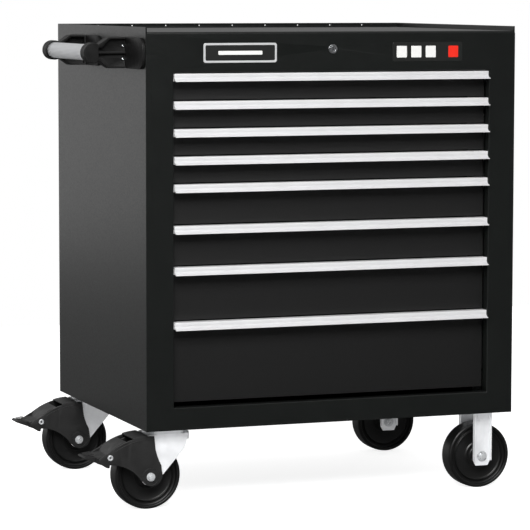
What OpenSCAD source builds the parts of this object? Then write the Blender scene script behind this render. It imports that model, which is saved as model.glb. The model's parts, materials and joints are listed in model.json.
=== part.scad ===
// Rolling tool chest: a sheet-steel cabinet with eight drawers on ball-bearing
// slides, a side push handle, two braked swivel casters and two rigid casters.
// Cabinet axes: X from the left side, Y from the face frame back, Z from the
// cabinet's bottom edge.  The model's origin is on the floor, at the centre of
// the whole object's footprint.

/* [Cabinet] */
// Width over the side panels
body_w = 862; // [740:1:1100]
// Depth from the face frame to the back
body_d = 662; // [600:1:800]
// Height from the bottom edge to the top of the lips
body_h = 865; // [760:1:1100]
// Steel sheet of the cabinet
sheet = 1.6; // [1.2:0.1:2.5]
// Height of the lips around the top deck
lip_h = 10; // [6:1:30]
// Outside radius of the folded front edge of the deck
deck_edge_r = 5; // [3:0.5:9]
// Width of the face frame's stiles
stile_w = 62; // [50:1:90]
// Height of the header, from the deck down to the drawer opening
header_h = 86.5; // [60:0.5:120]
// Height of the bottom rail
rail_h = 49; // [44:0.5:80]
// Depth of the face frame's inner returns
return_d = 24; // [18:1:30]
// Outside radius of the folded edge around the drawer opening
opening_edge_r = 2.5; // [2.2:0.1:4]
// Diameter of the holes in the back lip
lip_hole_d = 3.2; // [3:0.1:6]
// Distance between the holes in the back lip
lip_hole_pitch = 83.5; // [60:0.5:100]

/* [Drawers] */
// Gap above the top drawer
top_gap = 2.2; // [1.5:0.1:5]
// Gap under the bottom drawer
bottom_gap = 6.6; // [3:0.1:12]
// Gap between one drawer front and the next
front_gap = 3; // [2:0.1:5]
// Gap at each side of a drawer front
side_gap = 2.5; // [1.5:0.1:5]
// How far the drawer fronts stand behind the face frame
front_recess = 22; // [16:1:26]
// Steel sheet of the drawers
tray_sheet = 1.2; // [0.8:0.1:2]
// Depth of the drawer trays
tray_d = 588; // [480:1:600]
// Length of each slide member
slide_len = 560; // [460:1:580]
// Width of one closed slide
slide_w = 12.7; // [12.7:0.1:14]
// Height of the slide's outer member
slide_h = 36; // [34:0.5:40]

/* [Drawer pulls] */
// Height of the pull's profile
pull_h = 17; // [14:0.5:22]
// How far the pull's lip stands in front of the face frame
pull_out = 11; // [6:0.5:16]
// Wall of the pull's profile
pull_t = 2; // [1.5:0.1:3]
// Gap at each end of a pull
pull_gap = 2; // [1:0.1:4]

/* [Casters] */
// Wheel diameter
wheel_d = 148; // [125:1:170]
// Wheel width across the tread
wheel_w = 44; // [36:1:50]
// Space between the wheel's top and the cabinet's bottom edge
wheel_gap = 27.5; // [25:0.5:40]
// Distance from the front and back faces to the wheels' middle planes
caster_inset_y = 62; // [60:1:80]
// Distance from the left side to the swivel axis
swivel_inset = 57.5; // [56:0.5:80]
// Distance from the right side to the rigid casters' axles
rigid_inset = 60.2; // [58:0.1:90]
// Distance from the swivel axis back to the wheel's axle
trail = 41.6; // [30:0.1:48]
// Axle bolt diameter
axle_d = 10; // [8:0.5:14]
// Length of the mounting plate along X
plate_x = 102; // [96:1:110]
// Length of the mounting plate along Y
plate_y = 112; // [104:1:116]

/* [Push handle] */
// Outside diameter of the grip tube
grip_d = 35; // [28:0.5:38]
// Distance from the side panel to the grip's axis
grip_reach = 78; // [64:1:100]
// Distance from the top of the lips down to the grip's axis
grip_drop = 56; // [46:1:120]
// Distance from the face frame to the front bracket's outer face
grip_front = 123; // [100:1:160]
// Length over both bracket arms
grip_span = 324; // [240:1:420]
// Thickness of a bracket arm along the grip
arm_t = 28; // [20:1:36]

/* [Lock] */
// Diameter of the lock's case
lock_d = 16; // [14:0.5:20]
// Distance from the deck down to the lock's axis
lock_drop = 38; // [28:1:50]

/* [Badges] */
// Length of each badge
badge_l = 167; // [120:1:180]
// Height of each badge
badge_h = 42; // [30:1:48]
// Distance from each side of the cabinet to its badge
badge_inset = 129; // [100:1:150]

/* [Hidden] */
$fn = 48;
eps = 0.01;

// Cabinet levels
ground = wheel_d + wheel_gap;
deck_z = body_h - lip_h;
open_l = stile_w;
open_r = body_w - stile_w;
open_bottom = rail_h;
open_top = deck_z - header_h;
floor_z = rail_h - 11;
side_flange = 15;
rear_flange = 20;
lip_holes = 9;

// Drawers: heights in units, from the top down
drawer_units = [2, 2, 2, 2, 3, 3, 4, 6];
function total(v, i = 0) = i < len(v) ? v[i] + total(v, i + 1) : 0;
function above(i) = i == 0 ? 0 : drawer_units[i - 1] + above(i - 1);
unit_h = (open_top - open_bottom - top_gap - bottom_gap) / total(drawer_units);
function front_top(i) = open_top - top_gap - above(i) * unit_h;
function front_bottom(i) = front_top(i) - drawer_units[i] * unit_h + front_gap;
tray_lift = 5;
tray_drop = 7;
tray_y = front_recess + tray_sheet;
front_fold = 14;
slide_y = front_recess + front_fold + 2;
rail_x = open_l + 2.4;
tray_x = rail_x + slide_w;
slide_play = 0.8;
slide_t = 1.4;
function slide_z(i) = front_bottom(i) + tray_lift + 3 + slide_h / 2;

// Uprights that carry the slides
upright_y = 40;
upright_places = [70, slide_y + slide_len - 70 - upright_y];

// Casters
plate_t = 5;
plate_top = 8;
channel_t = 2.5;
raceway_h = 13;
raceway_d = 92;
running_gap = 0.4;
fork_t = 4;
leg_gap = 65;
leg_out = leg_gap / 2 + fork_t;
cheek_t = 3.5;
cheek_out = leg_out + 4.5;
king_d = 14;
bore_play = 0.08;
hole_play = 0.3;
bolt_d = 8;
bolt_dx = 34;
bolt_dy = 45;
axle_z = wheel_d / 2 - ground;
fork_top = plate_top - plate_t - raceway_h - running_gap - axle_z;
cover_k = fork_top / 91.1;
pedal_reach = 145.5 * cover_k;
pin_x = -91 * cover_k;
pin_z = 46.5 * cover_k;
pin_d = 8;
swivel_axle_x = swivel_inset - trail;
rigid_axle_x = body_w - rigid_inset;
front_y = caster_inset_y;
rear_y = body_d - caster_inset_y;

// Push handle
grip_z = body_h - grip_drop;
grip_wall = 2.5;
boss_r = grip_d / 2 + 4.2;
base_t = 6;
base_half = 33.5;
base_out = 119;
base_in = 105;
web_y = 9;
socket_d = arm_t - web_y - 2;
screw_x = -9.5;
screw_z = 14;
screw_d = 4;

// Lock
lock_x = body_w / 2 - 5;
lock_z = deck_z - lock_drop;
core_d = 12;
case_len = 22;
cam_y = case_len + running_gap;
cam_t = 2.5;

// Footprint of the whole object, for the origin
left_end = max(grip_reach + boss_r, trail + pedal_reach - swivel_inset);
right_end = body_w - rigid_inset + wheel_d / 2;
origin_x = (right_end - left_end) / 2;
origin_y = (body_d - pull_out) / 2;

// ---------------------------------------------------------------- helpers

// Places cabinet coordinates in the model's frame.
module cabinet() {
  translate([-origin_x, -origin_y, ground]) children();
}

// A block between two corners.
module box(lo, hi) {
  translate(lo) cube(hi - lo);
}

// Extrudes a (Y, Z) outline along X, or an (X, Z) outline along Y.
module along_x(x0, x1) {
  translate([x0, 0, 0]) rotate([90, 0, 90]) linear_extrude(x1 - x0) children();
}
module along_y(y0, y1) {
  translate([0, y1, 0]) rotate([90, 0, 0]) linear_extrude(y1 - y0) children();
}

// A round bar along Y.
module rod_y(x, z, d, y0, y1, fn = 48) {
  translate([x, y1, z]) rotate([90, 0, 0]) cylinder(d = d, h = y1 - y0, $fn = fn);
}

// Points of an arc, from angle a0 to angle a1.
function arc(c, r, a0, a1, n = 8) =
  [for (i = [0 : n]) let (a = a0 + (a1 - a0) * i / n) [c[0] + r * cos(a), c[1] + r * sin(a)]];

// Section of a folded sheet: a face along -X and a return along +Y, with its
// outside corner at the origin.
module fold_section(face, ret, r, t) {
  polygon(concat([[-face, t], [-face, 0]],
                 arc([-r, r], r, -90, 0),
                 [[0, ret], [-t, ret]],
                 arc([-r, r], r - t, 0, -90)));
}

// An outline with rounded corners, from the low corner to the high corner.
module rounded(lo, hi, r) {
  polygon(concat(arc([hi[0] - r, hi[1] - r], r, 0, 90),
                 arc([lo[0] + r, hi[1] - r], r, 90, 180),
                 arc([lo[0] + r, lo[1] + r], r, 180, 270),
                 arc([hi[0] - r, lo[1] + r], r, 270, 360)));
}

// Mirrors a left-hand piece to the cabinet's right side.
module right_hand() {
  translate([body_w, 0, 0]) mirror([1, 0, 0]) children();
}

// ---------------------------------------------------------------- cabinet

// A side panel with a hemmed lip and front, bottom and rear flanges.
module side_sheet() {
  box([0, sheet, 0], [sheet, body_d, body_h]);
  box([sheet - eps, sheet, deck_z], [2 * sheet, body_d - 2 * sheet, body_h]);
  box([sheet - eps, sheet, 0], [side_flange, body_d, sheet]);
  box([sheet - eps, body_d - sheet, 0], [rear_flange, body_d, body_h]);
  box([sheet - eps, sheet, 0], [side_flange, 2 * sheet, deck_z - deck_edge_r]);
}

module side_panel_left() {
  color("dimgray") cabinet() side_sheet();
}

module side_panel_right() {
  color("dimgray") cabinet() right_hand() side_sheet();
}

// The back panel rises past the deck as the drilled rear lip.
module back_panel() {
  inner = body_d - 2 * sheet;
  color("dimgray") cabinet() difference() {
    union() {
      box([2 * sheet, inner, sheet], [body_w - 2 * sheet, inner + sheet, body_h]);
      box([2 * sheet, inner - sheet, deck_z], [body_w - 2 * sheet, inner + eps, body_h]);
    }
    for (i = [0 : lip_holes - 1])
      rod_y(body_w / 2 + (i - (lip_holes - 1) / 2) * lip_hole_pitch, deck_z + lip_h / 2,
            lip_hole_d, inner - 2 * sheet, body_d + sheet);
  }
}

// The floor pan stands on the caster channels and turns up at its sides.
module floor_pan() {
  upturn = 20;
  color("dimgray") cabinet() {
    box([sheet, 2 * sheet, floor_z], [body_w - sheet, body_d - 2 * sheet, floor_z + sheet]);
    for (x = [sheet, body_w - 2 * sheet])
      box([x, 2 * sheet, floor_z], [x + sheet, body_d - 2 * sheet, floor_z + upturn]);
  }
}

// The top deck rolls over its front edge to meet the header.
module top_deck() {
  r = deck_edge_r;
  flange = 12;
  hem_gap = 0.2;
  side = 2 * sheet + 0.1;
  back = body_d - 3 * sheet - 0.1;
  color("dimgray") cabinet() {
    along_x(side, body_w - side)
      polygon(concat(arc([r, deck_z - r], r, 180, 90),
                     [[back, deck_z], [back, deck_z - sheet]],
                     arc([r, deck_z - r], r - sheet, 90, 180)));
    for (x = [sheet, body_w - side - eps])
      box([x, 2 * r, deck_z - flange], [x + side - sheet + eps, back, deck_z - hem_gap]);
    box([side, back - eps, deck_z - flange],
        [body_w - side, back + sheet, deck_z - hem_gap]);
  }
}

// The face frame: one front sheet whose drawer opening has rolled edges and
// deep returns.
module face_frame() {
  r = opening_edge_r;
  top = deck_z - deck_edge_r;
  lip_back = 9;
  color([0.12, 0.13, 0.125]) cabinet() difference() {
    union() {
      difference() {
        box([0, 0, 0], [body_w, sheet, top]);
        box([open_l - r, -1, open_bottom - r], [open_r + r, sheet + 1, open_top + r]);
      }
      for (side = [0, 1])
        translate([side * body_w, 0, 0]) mirror([side, 0, 0])
          translate([open_l, 0, open_bottom - r])
            linear_extrude(open_top - open_bottom + 2 * r)
              fold_section(r + 1, return_d, r, sheet);
      along_x(open_l - r, open_r + r) translate([0, open_top]) rotate(-90)
        fold_section(r + 1, return_d, r, sheet);
      along_x(open_l - r, open_r + r) translate([0, open_bottom]) mirror([1, -1])
        fold_section(r + 1, return_d, r, sheet);
      box([side_flange + 1, sheet - eps, 0], [body_w - side_flange - 1, lip_back, sheet]);
    }
    rod_y(lock_x, lock_z, lock_d + hole_play, -1, sheet + 1);
  }
}

// Four upright channels, slotted where the slides hook in.
module uprights() {
  web = rail_x;
  base = floor_z + sheet;
  top = deck_z - sheet - 1;
  slot_h = 12;
  slot_w = 4;
  module upright(y) {
    difference() {
      box([2 * sheet + 1, y, base], [web, y + upright_y, top]);
      box([2 * sheet, y + sheet, base - 1], [web - sheet, y + upright_y - sheet, top + 1]);
      for (i = [0 : len(drawer_units) - 1])
        box([web - 2 * sheet, y + (upright_y - slot_w) / 2, slide_z(i) - slot_h / 2],
            [web + 1, y + (upright_y + slot_w) / 2, slide_z(i) + slot_h / 2]);
    }
  }
  color("gray") cabinet() for (y = upright_places) {
    upright(y);
    right_hand() upright(y);
  }
}

// Two channels across the bottom that the casters bolt to.
module caster_channels() {
  half = plate_y / 2;
  color("gray") cabinet() for (y = [caster_inset_y, body_d - caster_inset_y]) difference() {
    box([2 * sheet, y - half, plate_top], [body_w - 2 * sheet, y + half, floor_z]);
    box([sheet, y - half + channel_t, plate_top + channel_t],
        [body_w - sheet, y + half - channel_t, floor_z + 1]);
    for (x = [swivel_inset, body_w - rigid_inset], dx = [-1, 1], dy = [-1, 1])
      translate([x + dx * bolt_dx, y + dy * bolt_dy, 0])
        cylinder(d = bolt_d + hole_play, h = floor_z);
  }
}

// ---------------------------------------------------------------- slides

// Sections of the three telescoping slide members, seen along the slide.
// Zero is the back of the outer member, and the drawer is on the +X side.
module outer_section() {
  h = slide_h / 2;
  polygon([[0, -h], [6, -h], [6, slide_t - h], [slide_t, slide_t - h],
           [slide_t, h - slide_t], [6, h - slide_t], [6, h], [0, h]]);
}

module middle_section() {
  h = slide_h / 2 - slide_t - slide_play;
  web = slide_w / 2;
  for (s = [-1, 1]) translate([web - 4, s > 0 ? h - slide_t : -h]) square([8, slide_t]);
  translate([web - 0.7, -h]) square([slide_t, 2 * h]);
}

module inner_section() {
  h = slide_h / 2 - 2 * slide_t - 2 * slide_play;
  polygon([[slide_w, -h], [slide_w - 4, -h], [slide_w - 4, slide_t - h],
           [slide_w - slide_t, slide_t - h], [slide_w - slide_t, h - slide_t],
           [slide_w - 4, h - slide_t], [slide_w - 4, h], [slide_w, h]]);
}

// Places a slide section at a drawer's two sides.
module slide_pair(i) {
  along_y(slide_y, slide_y + slide_len) translate([rail_x, slide_z(i)]) children();
  right_hand() along_y(slide_y, slide_y + slide_len) translate([rail_x, slide_z(i)]) children();
}

// The fixed outer members of all the slides.
module slide_rails() {
  color("silver") cabinet() for (i = [0 : len(drawer_units) - 1]) slide_pair(i) outer_section();
}

// The middle members of one drawer's slides, which travel half as far.
module drawer_glides(i) {
  color("lightsteelblue") cabinet() slide_pair(i) middle_section();
}

// ---------------------------------------------------------------- drawers

// One drawer: a folded front, a hemmed tray and the slides' inner members.
module drawer_box(i) {
  z0 = front_bottom(i);
  z1 = front_top(i);
  t = tray_sheet;
  hem = 9;
  fx0 = open_l + side_gap;
  fx1 = open_r - side_gap;
  tx1 = body_w - tray_x;
  ty1 = tray_y + tray_d;
  tz0 = z0 + tray_lift;
  tz1 = z1 - tray_drop;
  color([0.14, 0.14, 0.14]) cabinet() {
    difference() {
      union() {
        box([fx0, front_recess, z0], [fx1, front_recess + front_fold, z1]);
        box([tray_x, tray_y, tz0], [tx1, ty1, tz1]);
      }
      box([fx0 + t, tray_y, z0 + t], [tray_x - 1, tray_y + front_fold, z1 - t]);
      box([tx1 + 1, tray_y, z0 + t], [fx1 - t, tray_y + front_fold, z1 - t]);
      box([tray_x - 2, tray_y, z0 + t], [tx1 + 2, tray_y + front_fold, tz0 - eps]);
      box([tray_x + 2 * t, tray_y, tz0 + t], [tx1 - 2 * t, ty1 - 2 * t, z1 - t]);
      box([tray_x + t, tray_y + front_fold, tz0 + t], [tx1 - t, ty1 - t, tz1 - hem]);
    }
  }
  color("silver") cabinet() slide_pair(i) inner_section();
}

// The full-width pull: a top flange, a front wall with a groove, a lip that
// sweeps forward and a mounting leg on the drawer front.
module drawer_pull(i) {
  t = pull_t;
  corner = 1.5;
  rise = 5;
  groove = 0.6;
  back = front_recess;
  lip_x = t / 2 - pull_out;
  sweep_r = (lip_x * lip_x + rise * rise) / (2 * rise);
  sweep = [lip_x, t - pull_h + sweep_r];
  a_out = atan2(rise - sweep_r, -lip_x);
  a_in = -acos((t - lip_x) / (sweep_r + t));
  groove_z = t + rise - pull_h + 1.5;
  color("gainsboro") cabinet() along_x(open_l + pull_gap, open_r - pull_gap)
    translate([0, front_top(i)])
      polygon(concat([[back, 0]],
                     arc([corner, -corner], corner, 90, 180, 4),
                     [[0, groove_z + 2 * groove], [groove, groove_z + 1.5 * groove],
                      [groove, groove_z + groove / 2], [0, groove_z]],
                     arc(sweep, sweep_r, a_out, -90, 6),
                     arc([lip_x, t / 2 - pull_h], t / 2, 90, 270, 6),
                     arc(sweep, sweep_r + t, -90, a_in, 6),
                     [[t, -t], [back - t, -t], [back - t, -pull_h], [back, -pull_h]]));
}

// ---------------------------------------------------------------- push handle

// A cast bracket with its outer face on Y = 0 and its arm along +Y.  The base
// plate lies on the side panel, and the boss takes the end of the grip tube.
module handle_bracket() {
  h = base_half;
  neck = 15;
  shoulder_x = -grip_reach + 35;
  neck_x = -grip_reach + 8;
  rim = 4;
  recess_x = 2 - base_t;
  slot_x = -grip_reach + 12;
  difference() {
    union() {
      along_x(-base_t, 0) rounded([-base_out, -h], [arm_t + base_in, h], 26);
      along_y(0, arm_t)
        polygon([[-1, -h], [-1, h], [shoulder_x, h], [neck_x, neck], [-grip_reach, neck],
                 [-grip_reach, -neck], [neck_x, -neck], [shoulder_x, -h]]);
      rod_y(-grip_reach, 0, 2 * boss_r, 0, arm_t);
    }
    rod_y(-grip_reach, 0, grip_d + 0.2, arm_t - socket_d, arm_t + 1);
    for (s = [-1, 1]) {
      along_y(-1, web_y)
        polygon([[recess_x, s * 2], [recess_x, s * (h - rim)],
                 [shoulder_x + 2, s * (h - rim)], [neck_x + 12, s * (neck - rim)],
                 [slot_x, s * (neck - rim)], [slot_x, s * 2]]);
      along_y(web_y + 5, arm_t + 1)
        polygon([[-base_t - 3, s * 2], [-base_t - 3, s * (h - rim)],
                 [shoulder_x + 2, s * (h - rim)], [neck_x + 16, s * (neck + 2)],
                 [neck_x + 16, s * 2]]);
      rod_y(screw_x, s * screw_z, screw_d + hole_play, -1, web_y + 6);
    }
  }
}

module handle_bracket_front() {
  color([0.11, 0.11, 0.11]) cabinet() translate([0, grip_front, grip_z]) handle_bracket();
}

module handle_bracket_rear() {
  color([0.11, 0.11, 0.11]) cabinet() translate([0, grip_front + grip_span, grip_z])
    mirror([0, 1, 0]) handle_bracket();
}

// The tube ends stand 1 mm off the bottom of their sockets.
module handle_grip() {
  inset = arm_t - socket_d + 1;
  color("silver") cabinet() difference() {
    rod_y(-grip_reach, grip_z, grip_d, grip_front + inset, grip_front + grip_span - inset, 96);
    rod_y(-grip_reach, grip_z, grip_d - 2 * grip_wall, grip_front, grip_front + grip_span);
  }
}

// Pan-head screws through the arms, two to a bracket.
module handle_screws() {
  head = 3;
  module screw() {
    rod_y(0, 0, 7, web_y - head, web_y);
    rod_y(0, 0, screw_d, web_y - eps, web_y + 4);
  }
  color("silver") cabinet() for (z = [-screw_z, screw_z]) {
    translate([screw_x, grip_front, grip_z + z]) screw();
    translate([screw_x, grip_front + grip_span, grip_z + z]) mirror([0, 1, 0]) screw();
  }
}

// ---------------------------------------------------------------- lock

// The flanged case in the header, with its nut behind the sheet.
module lock_case() {
  flange = 1.8;
  nut = 4;
  color("silver") cabinet() difference() {
    union() {
      rod_y(lock_x, lock_z, lock_d + 4, -flange, 0);
      rod_y(lock_x, lock_z, lock_d, -eps, case_len);
      rod_y(lock_x, lock_z, lock_d + 8, sheet, sheet + nut, 6);
    }
    rod_y(lock_x, lock_z, core_d + bore_play, -flange - 1, case_len + 1);
  }
}

// The turning core, with its key slot in front and its cam behind.
module lock_core() {
  cam_l = 22;
  face = -2.2;
  color("gainsboro") cabinet() {
    difference() {
      rod_y(lock_x, lock_z, core_d, face, cam_y + eps);
      box([lock_x - 0.9, face - 1, lock_z - 4], [lock_x + 0.9, face + 8, lock_z + 4]);
    }
    rod_y(lock_x, lock_z, core_d + 2, cam_y, cam_y + cam_t);
    box([lock_x - cam_l, cam_y, lock_z - 5], [lock_x, cam_y + cam_t, lock_z + 5]);
  }
}

// The locking bar: a strap behind the header that the cam lifts, and an upright
// strip behind the left stile with one catch for each drawer.
module lock_bar() {
  t = 2;
  y = cam_y + cam_t + 1;
  x0 = open_l - 40;
  x1 = open_l - 20;
  strap = 16;
  catch_l = 12;
  color("gray") cabinet() {
    box([x0, y, lock_z - 6], [lock_x + 14, y + t, lock_z - 6 + strap]);
    box([x0, y, front_bottom(len(drawer_units) - 1)], [x1, y + t, lock_z]);
    for (i = [0 : len(drawer_units) - 1])
      box([x1 - eps, y, slide_z(i) - 4], [x1 + catch_l, y + t, slide_z(i) + 4]);
  }
}

// Two plain plates with bevelled corners on the header.
module badges() {
  t = 1.2;
  z0 = deck_z - lock_drop - badge_h / 2 - 7;
  color("silver") cabinet() for (x = [badge_inset, body_w - badge_inset - badge_l])
    along_y(-t, 0) rounded([x, z0], [x + badge_l, z0 + badge_h], 5);
}

// ---------------------------------------------------------------- casters

// Caster parts are drawn about the axle: X and Z from its centre, and Y from
// the wheel's middle plane.
module at_axle(x, y) {
  cabinet() translate([x, y, axle_z]) children();
}

// A moulded wheel with a crowned tread, a recessed face with two raised rings,
// and a hub.
module wheel() {
  r = wheel_d / 2;
  w = wheel_w / 2;
  hub_w = leg_gap / 2 - running_gap;
  bore_r = (axle_d + bore_play) / 2;
  dish = w - 9;
  ring = w - 6.5;
  half = concat([[bore_r, 0], [bore_r, hub_w], [15, hub_w], [16, hub_w - 1], [18, ring],
                 [26, dish], [27, ring], [29, ring], [31, dish],
                 [r - 19.5, dish], [r - 18.5, ring], [r - 17, ring], [r - 16, dish],
                 [r - 9.5, dish], [r - 8.5, w - 1.5], [r - 7.5, w]],
                arc([r - 6, w - 4], 4, 90, 35, 4),
                [[r - 1.1, w - 6], [r - 0.4, w - 12], [r, 0]]);
  mirrored = [for (i = [len(half) - 2 : -1 : 1]) [half[i][0], -half[i][1]]];
  rotate([90, 0, 0]) rotate_extrude($fn = 96) polygon(concat(half, mirrored));
}

// An axle bolt with a hex head, washers and a nut.
module axle_bolt(half, washer_d) {
  head = 5;
  hex_d = 16.5;
  washer = 1.5;
  rod_y(0, 0, axle_d, -half - washer - head - 2, half + washer + eps);
  for (s = [-1, 1])
    rod_y(0, 0, washer_d, s > 0 ? half : -half - washer, s > 0 ? half + washer : -half);
  rod_y(0, 0, hex_d, -half - washer - head, -half - washer, 6);
  rod_y(0, 0, hex_d, half + washer, half + washer + head, 6);
}

// Bolt-hole positions of a mounting plate.
module plate_holes(depth) {
  for (dx = [-1, 1], dy = [-1, 1]) translate([dx * bolt_dx, dy * bolt_dy, 0])
    cylinder(d = bolt_d + hole_play, h = depth);
}

// The swivel caster's fixed half: a plate, a raceway and the kingpin.
module swivel_plate(y) {
  bottom = plate_top - plate_t;
  nut_h = 7;
  color("silver") cabinet() translate([swivel_inset, y, 0]) difference() {
    union() {
      translate([-plate_x / 2, -plate_y / 2, bottom]) cube([plate_x, plate_y, plate_t]);
      translate([0, 0, bottom - raceway_h]) cylinder(d1 = raceway_d, d2 = raceway_d - 8,
                                                     h = raceway_h + eps);
      translate([0, 0, bottom - raceway_h - running_gap - fork_t - running_gap - nut_h])
        cylinder(d = king_d, h = nut_h + 2 * running_gap + fork_t + 1);
      translate([0, 0, bottom - raceway_h - running_gap - fork_t - running_gap - nut_h])
        cylinder(d = 24, h = nut_h, $fn = 6);
    }
    translate([0, 0, bottom - 1]) plate_holes(plate_t + 2);
  }
}

// The swivel fork: two legs whose lower edge runs straight from the axle boss
// to the shoulder, a bored crown and a curved apron.
module swivel_fork(x, y) {
  apron_r = 56;
  apron_z = fork_top - 14;
  shoulder = trail + sqrt(apron_r * apron_r - leg_out * leg_out);
  boss = 20;
  shoulder_r = 40;
  shoulder_c = [shoulder - shoulder_r, fork_top - 11];
  tangent = acos((boss - shoulder_r) / norm(shoulder_c));
  slope = tangent - atan2(shoulder_c[1], shoulder_c[0]);
  color("gainsboro") at_axle(x, y) difference() {
    union() {
      for (s = [-1, 1]) along_y(s > 0 ? leg_gap / 2 : -leg_out, s > 0 ? leg_out : -leg_gap / 2)
        polygon(concat(arc([0, 0], boss, 180, 360 - slope, 8),
                       arc(shoulder_c, shoulder_r, -slope, 0, 6),
                       [[shoulder, fork_top], [-3, fork_top]]));
      intersection() {
        translate([trail, 0, apron_z]) cylinder(r = apron_r, h = fork_top - apron_z);
        box([-3, -leg_out, apron_z], [trail + apron_r, leg_out, fork_top]);
      }
    }
    difference() {
      box([-60, -leg_gap / 2, apron_z - 40], [trail + apron_r, leg_gap / 2, fork_top - fork_t]);
      difference() {
        box([trail, -leg_gap, apron_z], [2 * apron_r + trail, leg_gap, fork_top]);
        translate([trail, 0, 0]) cylinder(r = apron_r - fork_t, h = fork_top);
      }
    }
    translate([trail, 0, 0]) cylinder(d = king_d + bore_play, h = fork_top + 1);
    rod_y(0, 0, axle_d + hole_play, -leg_out - 1, leg_out + 1);
  }
}

// Outline of the brake cover's cheeks: a crowned top edge, a leading edge that
// falls to the axle boss, and a lower edge that sweeps back to the pedal's pin.
module cheek_outline() {
  polygon(cover_k * concat(arc([-2, -60], 148.5, 86, 127, 10),
                           [[-104, 52], [-117, 44], [-117, 36], [-101, 26]],
                           arc([-95, 27], 3, 250, 350, 3),
                           arc([-92, -54], 84.5, 90, 33, 8),
                           arc([3, 3], 24, 213, 377, 12),
                           [[24, 24.5], [18.5, 36], [14.4, 47], [11.5, 58], [10.7, 65]]));
}

// The brake cover: two cheeks, a roof over the wheel and the pedal's hollow pin.
module brake_cover(x, y) {
  roof_c = cover_k * [-2, -60];
  roof_r = 151 * cover_k;
  roof_t = 3.5;
  bar_top = fork_top - 6;
  color([0.13, 0.13, 0.13]) at_axle(x, y) {
    difference() {
      union() {
        for (s = [-1, 1])
          along_y(s > 0 ? cheek_out - cheek_t : -cheek_out, s > 0 ? cheek_out : cheek_t - cheek_out)
            cheek_outline();
        along_y(-cheek_out, cheek_out)
          polygon(concat(arc(roof_c, roof_r, 92, 104.5, 6),
                         arc(roof_c, roof_r - roof_t, 104.5, 92, 6)));
        along_y(-cheek_out, cheek_out) translate([-18, bar_top - 7]) square([7, 7]);
        for (s = [-1, 1]) rod_y(0, 0, 34, s > 0 ? leg_out : -cheek_out, s > 0 ? cheek_out : -leg_out);
      }
      rod_y(0, 0, axle_d + hole_play, -cheek_out - 1, cheek_out + 1);
      rod_y(pin_x, pin_z, pin_d + hole_play, -cheek_out - 1, cheek_out + 1);
    }
  }
  color("silver") at_axle(x, y) difference() {
    union() {
      rod_y(pin_x, pin_z, pin_d, -cheek_out - eps, cheek_out + eps);
      for (s = [-1, 1])
        rod_y(pin_x, pin_z, 12, s > 0 ? cheek_out : -cheek_out - 1.4,
              s > 0 ? cheek_out + 1.4 : -cheek_out);
    }
    rod_y(pin_x, pin_z, 5, -cheek_out - 5, cheek_out + 5);
  }
}

// The brake pedal: a curved lever on the pin, with an upturned toe and a cam.
module brake_pedal(x, y) {
  wide = cheek_out - cheek_t - 1.5;
  toe = 21.5;
  toe_x = -119 * cover_k;
  color([0.16, 0.16, 0.16]) at_axle(x, y) difference() {
    along_y(-wide, wide)
      polygon(cover_k * concat([[-54, 79.5]],
                               arc([-38, 11], 70, 110, 145, 6),
                               arc([-121, 63], 16.5, -70, -108, 4),
                               [[-141, 49.5], [-145.5, 48], [-145.5, 45]],
                               [[-126, 37.5], [-110, 31.5]],
                               arc([-93, 43.5], 12.5, 230, 310, 5),
                               [[-77, 47], [-66, 66], [-54, 76]]));
    for (s = [-1, 1]) along_y(s > 0 ? toe : -wide - 1, s > 0 ? wide + 1 : -toe)
      translate([toe_x - 60, 0]) square([60, 2 * fork_top]);
    rod_y(pin_x, pin_z, pin_d + bore_play, -wide - 1, wide + 1);
  }
}

// The rigid caster's fork: a plate and two straight legs with bent edges.
module rigid_fork(x, y) {
  half = 20.7;
  foot = 21;
  shin = 9;
  chamfer = 6;
  flange_t = 2.5;
  flange_out = 8.5;
  stamp_out = 1.5;
  stamp_d = 27;
  top = plate_top - axle_z;
  color("gainsboro") at_axle(x, y) difference() {
    union() {
      translate([-plate_x / 2, -plate_y / 2, top - plate_t]) cube([plate_x, plate_y, plate_t]);
      for (s = [-1, 1]) mirror([0, s > 0 ? 1 : 0, 0]) {
        along_y(-leg_out, -leg_gap / 2)
          polygon([[-half, top - plate_t + eps], [-half, -shin], [chamfer - half, -foot],
                   [half - chamfer, -foot], [half, -shin], [half, top - plate_t + eps]]);
        for (e = [-1, 1]) along_y(-leg_out - flange_out, -leg_gap / 2)
          translate([e > 0 ? half - flange_t : -half, -shin])
            square([flange_t, top - plate_t + shin + eps]);
        rod_y(0, top - plate_t - 7, stamp_d, -leg_out - stamp_out, -leg_out + eps);
      }
    }
    translate([0, 0, top - plate_t - 1]) plate_holes(plate_t + 2);
    translate([-plate_x / 2, -plate_y / 2, top]) cube([plate_x, plate_y, stamp_d]);
    rod_y(0, 0, axle_d + hole_play, -leg_out - 1, leg_out + 1);
  }
}

module caster_wheel(x, y) {
  color([0.1, 0.1, 0.1]) at_axle(x, y) wheel();
}

module caster_axle(x, y, half, washer_d) {
  color("silver") at_axle(x, y) axle_bolt(half, washer_d);
}

// Bolts and nuts that hold the mounting plates to the channels.
module caster_bolts() {
  head = 5;
  nut = 6.5;
  bottom = plate_top - plate_t;
  color("silver") cabinet()
    for (x = [swivel_inset, body_w - rigid_inset], y = [caster_inset_y, body_d - caster_inset_y],
         dx = [-1, 1], dy = [-1, 1])
      translate([x + dx * bolt_dx, y + dy * bolt_dy, 0]) {
        translate([0, 0, bottom - head]) cylinder(d = 14, h = head, $fn = 6);
        translate([0, 0, bottom - eps]) cylinder(d = bolt_d, h = plate_t + channel_t + nut + 2);
        translate([0, 0, plate_top + channel_t]) cylinder(d = 14, h = nut, $fn = 6);
      }
}

// ---------------------------------------------------------------- nodes

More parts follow.
